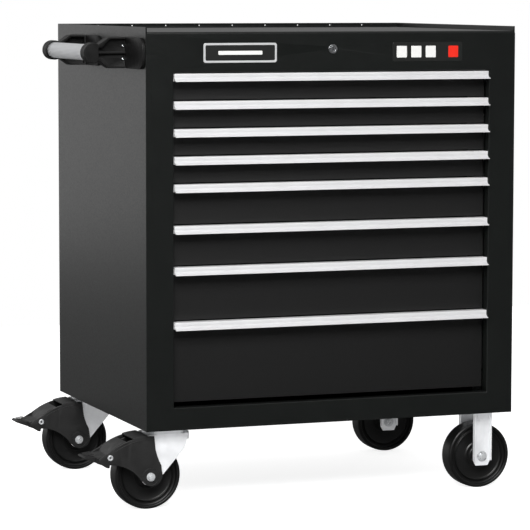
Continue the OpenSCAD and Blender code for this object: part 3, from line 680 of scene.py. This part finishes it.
class CHEST_OT_handle(bpy.types.Operator):
    """Build the fluted grip, the moulded brackets and their screws"""
    bl_idname = "chest.handle"
    bl_label = "Push handle"

    def execute(self, context):
        handle = context.scene.chest_handle
        nylon = moulded_nylon("glass_filled_nylon", handle.nylon, 0.5, 1.2 * MM, 0.25)
        for end in ("front", "rear"):
            node = f"handle_bracket_{end}"
            dressed(node, node + "_moulded", nylon, 0.9 * MM)
        self.grip(handle)
        self.screws()
        return {"FINISHED"}

    def grip(self, handle):
        """The fluted tube between the two sockets."""
        metal = drawn_metal("satin_aluminium_tube", linear("#DCDDDF"), 0.4, "Y", 0.9 * MM,
                            metallic=0.8, streak=0.08)
        lo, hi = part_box("handle_grip")
        x, z = (lo.x + hi.x) / 2, (lo.z + hi.z) / 2
        grip = path_piece("handle_grip_fluted", [[(x, lo.y, z), (x, hi.y, z)]])
        grow(grip, flute_tree(), Radius=(hi.x - lo.x) / 2, Flutes=handle.flutes,
             Depth=handle.flute_depth, Material=metal)
        grip.data.shade_smooth()
        grip.data.set_sharp_from_angle(angle=math.radians(60))
        on_body(grip, "handle_grip")

    def screws(self):
        """Two pan-head screws in each bracket."""
        steel = zinc_plate("zinc_plated_screw", linear("#D5D7DA"), 0.25, 8 * MM)
        solids = islands("handle_screws")
        lo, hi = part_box("handle_screws")
        heads = [b for b in solids if b[0].y < (lo.y + hi.y) / 2]
        low = min(heads, key=lambda b: b[0].z)
        gap = max(b[0].z for b in heads) - low[0].z
        x, z = (low[0].x + low[1].x) / 2, (low[0].z + low[1].z) / 2
        radius, height = (low[1].x - low[0].x) / 2, 3 * MM
        for end, y, axis in (("front", lo.y + height, (0, -1, 0)),
                             ("rear", hi.y - height, (0, 1, 0))):
            head = dome((0, 0, 0), radius, height, axis, 18, slot=True)
            piece = new_piece(f"handle_screws_{end}", head, steel)
            grow(piece, rows_tree(), Count=2, Step=(0, 0, gap), Rows=1, Row_Step=(0, 0, 0),
                 Material=steel)
            piece.data.transform(Matrix.Translation((x, y, z)))
            on_body(piece, "handle_screws")


class CHEST_OT_lock(bpy.types.Operator):
    """Chrome the lock's case and core"""
    bl_idname = "chest.lock"
    bl_label = "Lock"

    def execute(self, context):
        chrome = bright_chrome("chrome_plate")
        dressed("lock_case", "lock_case_chromed", chrome, 0.35 * MM)
        dressed("lock_core", "lock_core_chromed", chrome, 0.2 * MM)
        return {"FINISHED"}


class CHEST_OT_badges(bpy.types.Operator):
    """Build the two plain badges on the header"""
    bl_idname = "chest.badges"
    bl_label = "Badges"

    def execute(self, context):
        trim = context.scene.chest_trim
        plate = drawn_metal("satin_aluminium_sheet", linear("#E6E7E8"), 0.35, "X", 0.7 * MM,
                            metallic=0.6)
        dark = screen_ink("dark_enamel_ink", trim.ink)
        light = screen_ink("light_enamel_ink", linear("#C8C8C6"))
        accent = screen_ink("accent_enamel_ink", trim.accent)
        left, right = islands("badges")
        lift = trim.print_height
        self.piece("badge_left_plate", left, 0, 0, plate, 5 * MM)
        self.piece("badge_left_field", left, 4.5 * MM, lift, dark, 3 * MM)
        self.strip("badge_left_stripe", left, 0.2, 0.8, 0.40, 0.60, 2 * lift, light)
        self.piece("badge_right_plate", right, 0, 0, dark, 5 * MM)
        pitch = 0.62 / trim.bars
        for i in range(trim.bars):
            start = 0.06 + i * pitch
            self.strip(f"badge_right_bar_{i + 1}", right, start, start + 0.7 * pitch, 0.2, 0.8,
                       lift, light)
        self.strip("badge_right_accent", right, 0.8, 0.94, 0.2, 0.8, lift, accent)
        return {"FINISHED"}

    def piece(self, name, box, inset, lift, material, corner):
        """A rounded plate or ink field on a badge."""
        lo, hi = box
        if inset:
            front = lo.y
            lo = Vector((lo.x + inset, front - lift, lo.z + inset))
            hi = Vector((hi.x - inset, front + 0.2 * MM, hi.z - inset))
        piece = new_piece(name, slab(bmesh.new(), lo, hi, corner, 0.15 * MM), material, 20)
        return on_body(piece, "badges")

    def strip(self, name, box, x0, x1, z0, z1, lift, material):
        """A plain printed bar, placed by shares of the badge."""
        lo, hi = box
        size = hi - lo
        a = Vector((lo.x + size.x * x0, lo.y - lift, lo.z + size.z * z0))
        b = Vector((lo.x + size.x * x1, lo.y + 0.1 * MM, lo.z + size.z * z1))
        piece = new_piece(name, slab(bmesh.new(), a, b, 1.5 * MM, 0.08 * MM), material, 20)
        return on_body(piece, "badges")


# Steps of a wheel's face, as (radius, depth) in mm: the hub's end, counted from the axle and
# the hub's level; the web, from the axle and the rim's level; the rim, from the tread inwards.
HUB_STEPS = [(5.04, 0), (14.2, 0), (15, -0.25), (15.6, -1), (16.2, -3)]
WEB_STEPS = [(17.6, -5.5), (19, -7.6), (21.5, -8.6), (25.6, -8.8), (26.6, -7), (27.3, -6.5),
             (28.7, -6.5), (29.4, -7), (30.6, -8.8), (32, -9)]
RIM_STEPS = [(-20.5, -9), (-19, -8.2), (-18.4, -6.9), (-17.8, -6.5), (-17.2, -6.9),
             (-16.4, -8.6), (-15.6, -9.4), (-10.4, -9.4), (-9.2, -8.6), (-8.6, -2.2),
             (-8, -0.6), (-7, 0)]
HUB_STANDS = 10.1 * MM              # the hub stands this far out of the rim on each side
SHOULDER = 4 * MM                   # radius between the rim's face and the tread
PIN_REACH = 4.05 * MM               # just past the hollow pin's own radius
HEAD_REACH = 6.3 * MM               # just past the radius of the pin's heads
HEAD_HEIGHT = 1.4 * MM              # the heads stand this far out of the cover's cheeks
CROWN_AT = (-2 * MM, -60 * MM)      # centre of the bead over the cover, from the axle
CROWN_RADIUS = 142 * MM
BOSS_RADIUS = 18.5 * MM             # bead round the axle's boss
BEAD_RADIUS = 0.8 * MM
RIB_AT = (-31 * MM, 0, 6.2 * MM)    # first grip rib of the pedal, from its pin
RIB_STEP = (-3.6 * MM, 0, -0.4 * MM)
RIB_HALF = 19 * MM                  # half a rib's length
RIB_RADIUS = 0.9 * MM
RIB_SIDES = 8


class CHEST_OT_casters(bpy.types.Operator):
    """Build the forks, brake covers, pedals, wheels, axles and bolts"""
    bl_idname = "chest.casters"
    bl_label = "Casters"

    def execute(self, context):
        casters = context.scene.chest_casters
        zinc = zinc_plate("bright_zinc_pressing", casters.zinc, 0.42, 22 * MM, metallic=0.4)
        steel = zinc_plate("zinc_plated_bolt", linear("#D4D6D8"), 0.3, 8 * MM, metallic=0.55)
        nylon = moulded_nylon("moulded_brake_nylon", casters.nylon, 0.48, 1.4 * MM, 0.35)
        for end in ("front", "rear"):
            for side in ("left", "right"):
                corner = f"{end}_{side}"
                dressed(f"{corner}_fork", f"{corner}_fork_plated", zinc, 0.8 * MM)
                dressed(f"{corner}_axle", f"{corner}_axle_plated", steel, 0.5 * MM)
                self.wheel(corner, casters)
            dressed(f"{end}_left_plate", f"{end}_left_plate_plated", zinc, 0.5 * MM)
            dressed(f"{end}_left_pedal", f"{end}_left_pedal_moulded", nylon, 0.9 * MM)
            self.cover(f"{end}_left", nylon, steel)
            self.pedal_ribs(f"{end}_left", nylon, casters.treads)
        dressed("caster_bolts", "caster_bolts_plated", steel, 0.4 * MM)
        return {"FINISHED"}

    def wheel(self, corner, casters):
        """A moulded wheel: a flat rim face, a rounded step, a dished web and a hub."""
        lo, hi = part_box(f"{corner}_wheel")
        centre, r, hub = (lo + hi) / 2, (hi.x - lo.x) / 2, (hi.y - lo.y) / 2
        rim = hub - HUB_STANDS
        face = [(a * MM, hub + d * MM) for a, d in HUB_STEPS]
        face += [(a * MM, rim + d * MM) for a, d in WEB_STEPS]
        face += [(r + a * MM, rim + d * MM) for a, d in RIM_STEPS]
        face += arc((r - 4.6 * MM, rim - SHOULDER), SHOULDER, 80, 15, 5)
        face += [(r - 0.35 * MM, rim - 8 * MM), (r - 0.1 * MM, rim - 15 * MM), (r, 0)]
        outline = face + [(a, -y) for a, y in face[-2::-1]]
        plastic = moulded_wheel(f"polyolefin_{corner}", casters.wheel, centre)
        turned = lathe(outline, centre, casters.turns)
        piece = new_piece(f"{corner}_wheel_moulded", turned, plastic, 50)
        on_body(piece, f"{corner}_wheel")

    def cover(self, corner, nylon, steel):
        """The cover with its plated pin, and beads over its crown and round its bosses."""
        node = f"{corner}_cover"
        piece = new_piece(f"{node}_moulded", eased(node, 0.9 * MM), nylon, 20)
        piece.data.materials.append(steel)
        pin = JOINT_AT[f"{corner}_brake_press"]
        lo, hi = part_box(node)
        cheek = (hi.y - lo.y) / 2 - HEAD_HEIGHT
        for face in piece.data.polygons:
            off = face.center - pin
            across = math.hypot(off.x, off.z)
            outside = abs(off.y) > cheek + 0.05 * MM
            if across < PIN_REACH or (across < HEAD_REACH and outside):
                face.material_index = 1
        on_body(piece, node)
        axle = JOINT_AT[f"{corner}_wheel_roll"]
        crown = arc((axle.x + CROWN_AT[0], axle.z + CROWN_AT[1]), CROWN_RADIUS, 87, 123, 24)
        ring = arc((axle.x, axle.z), BOSS_RADIUS, 0, 360, 40)
        runs = [[(x, y, z) for x, z in line]
                for y in (axle.y - cheek, axle.y + cheek) for line in (crown, ring)]
        beads = path_piece(f"{corner}_cover_beads", runs)
        grow(beads, bead_tree(), Radius=BEAD_RADIUS, Material=nylon)
        beads.data.shade_smooth()
        on_body(beads, node, stands_for=False)

    def pedal_ribs(self, corner, nylon, count):
        """Grip ribs across the pedal's toe."""
        pin = JOINT_AT[f"{corner}_brake_press"]
        bm = bmesh.new()
        outline = arc((0, 0), RIB_RADIUS, 0, 360, RIB_SIDES)[:-1]
        ends = [[bm.verts.new((x, y, z)) for x, z in outline] for y in (-RIB_HALF, RIB_HALF)]
        for i in range(RIB_SIDES):
            j = (i + 1) % RIB_SIDES
            bm.faces.new((ends[0][i], ends[0][j], ends[1][j], ends[1][i]))
        bm.faces.new(ends[0])
        bm.faces.new(ends[1][::-1])
        bmesh.ops.recalc_face_normals(bm, faces=bm.faces)
        ribs = new_piece(f"{corner}_pedal_ribs", bm, nylon)
        grow(ribs, rows_tree(), Count=count, Step=RIB_STEP, Rows=1, Row_Step=(0, 0, 0),
             Material=nylon)
        ribs.data.transform(Matrix.Translation(pin + Vector(RIB_AT)))
        on_body(ribs, f"{corner}_pedal", stands_for=False)


class CHEST_OT_stage(bpy.types.Operator):
    """Lay the floor, hang the soft lights and set the camera"""
    bl_idname = "chest.stage"
    bl_label = "Stage"

    def execute(self, context):
        stage = context.scene.chest_stage
        self.floor(stage)
        self.sky(context, stage)
        self.softbox("key_softbox", (-1.6, -3.8, 3.6), (0, 0, 0.5), 3.0, 2.4, stage.key)
        self.softbox("side_softbox", (-1.9, 3.6, 1.25), (-0.3, 0, 0.8), 2.6, 2.2, stage.side)
        self.camera(context, stage)
        context.scene.view_settings.view_transform = "Standard"
        return {"FINISHED"}

    def floor(self, stage):
        """Seamless white paper: matte, with the faintest tooth."""
        material, tree, shader, place = surface("seamless_paper", 0.8, **{
            "Emission Color": stage.floor, "Emission Strength": 0.9})
        tooth = add(tree, "ShaderNodeTexNoise", {"Vector": place, "Scale": 1 / (4 * MM),
                                                 "Detail": 2.0})
        tint = add(tree, "ShaderNodeMix", {0: tooth.outputs["Fac"], 6: shade(stage.floor, 0.985),
                                           7: stage.floor}, data_type="RGBA")
        tree.links.new(tint.outputs[2], shader.inputs["Base Color"])
        bm = bmesh.new()
        bmesh.ops.create_grid(bm, x_segments=2, y_segments=2, size=stage.floor_size / 2)
        floor = new_piece("floor", bm, material)
        floor.visible_glossy = False

    def sky(self, context, stage):
        """White where the camera sees it; as a light it is dimmer, and brighter behind."""
        world = bpy.data.worlds.new("studio")
        context.scene.world = world
        world.use_nodes = True
        tree = world.node_tree
        tree.nodes.clear()
        seen = add(tree, "ShaderNodeLightPath")
        way = add(tree, "ShaderNodeTexCoord")
        parts = add(tree, "ShaderNodeSeparateXYZ", {0: way.outputs["Generated"]})
        level = add(tree, "ShaderNodeMapRange", {"Value": parts.outputs["Y"], "From Min": -1.0,
                                                 "From Max": 1.0, "To Min": stage.sky_front,
                                                 "To Max": stage.sky_back})
        rise = add(tree, "ShaderNodeMapRange", {"Value": parts.outputs["Z"], "From Min": -0.3,
                                                "From Max": 0.5, "To Min": 0.2, "To Max": 1.3})
        both = add(tree, "ShaderNodeMath", {0: level.outputs["Result"], 1: rise.outputs["Result"]},
                   operation="MULTIPLY")
        glow = add(tree, "ShaderNodeBackground", {"Color": (1, 1, 1, 1),
                                                  "Strength": both.outputs[0]})
        white = add(tree, "ShaderNodeBackground", {"Color": (1, 1, 1, 1), "Strength": 1.0})
        mix = add(tree, "ShaderNodeMixShader", {0: seen.outputs["Is Camera Ray"],
                                                1: glow.outputs[0], 2: white.outputs[0]})
        add(tree, "ShaderNodeOutputWorld", {"Surface": mix.outputs[0]})

    def softbox(self, name, place, aim, width, height, power):
        """A soft rectangular light."""
        light = bpy.data.lights.new(name, "AREA")
        light.shape = "RECTANGLE"
        light.size, light.size_y, light.energy = width, height, power
        lamp = bpy.data.objects.new(name, light)
        lamp.location = place
        lamp.rotation_euler = (Vector(aim) - Vector(place)).to_track_quat("-Z", "Y").to_euler()
        lamp.visible_camera = False
        bpy.context.scene.collection.objects.link(lamp)

    def camera(self, context, stage):
        """A long lens, a little above the deck, to the left of the front."""
        camera = bpy.data.objects.new("camera", bpy.data.cameras.new("camera"))
        camera.data.lens = stage.lens
        camera.data.sensor_width = 36.0
        camera.data.clip_end = 200.0
        camera.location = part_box("face_frame")[0] + Vector(stage.place)
        look = (Vector(stage.aim) - Vector(stage.place)).to_track_quat("-Z", "Y")
        camera.rotation_euler = (look.to_matrix() @ Matrix.Rotation(stage.roll, 3, "Z")).to_euler()
        context.scene.collection.objects.link(camera)
        context.scene.camera = camera


class CHEST_PT_panel(bpy.types.Panel):
    """Sizes, colours and steps of the tool chest"""
    bl_label = "Tool Chest"
    bl_idname = "CHEST_PT_panel"
    bl_space_type = "VIEW_3D"
    bl_region_type = "UI"
    bl_category = "Tool Chest"

    def draw(self, context):
        for group, operators in STEPS:
            box = self.layout.box()
            settings = getattr(context.scene, group)
            for name in settings.bl_rna.properties.keys():
                if name not in ("rna_type", "name"):
                    box.prop(settings, name)
            for operator in operators:
                box.operator(operator)


STEPS = [
    ("chest_paint", ("chest.cabinet", "chest.drawers")),
    ("chest_trim", ("chest.pulls", "chest.slides", "chest.lock", "chest.badges")),
    ("chest_handle", ("chest.handle",)),
    ("chest_casters", ("chest.casters",)),
    ("chest_stage", ("chest.stage",)),
]
GROUPS = {"chest_paint": ChestPaint, "chest_trim": ChestTrim, "chest_handle": ChestHandle,
          "chest_casters": ChestCasters, "chest_stage": ChestStage}
CLASSES = [*GROUPS.values(), CHEST_OT_cabinet, CHEST_OT_drawers, CHEST_OT_pulls, CHEST_OT_slides,
           CHEST_OT_handle, CHEST_OT_lock, CHEST_OT_badges, CHEST_OT_casters, CHEST_OT_stage,
           CHEST_PT_panel]


def register():
    """Registers the classes and hangs each group of settings on the scene."""
    for cls in CLASSES:
        bpy.utils.register_class(cls)
    for name, group in GROUPS.items():
        setattr(bpy.types.Scene, name, PointerProperty(type=group))


def unregister():
    """Takes the settings and the classes away again."""
    for name in GROUPS:
        delattr(bpy.types.Scene, name)
    for cls in reversed(CLASSES):
        bpy.utils.unregister_class(cls)


def main():
    """Runs every step in order."""
    register()
    for _, operators in STEPS:
        for operator in operators:
            getattr(bpy.ops.chest, operator.split(".")[1])()


if __name__ == "__main__":
    main()
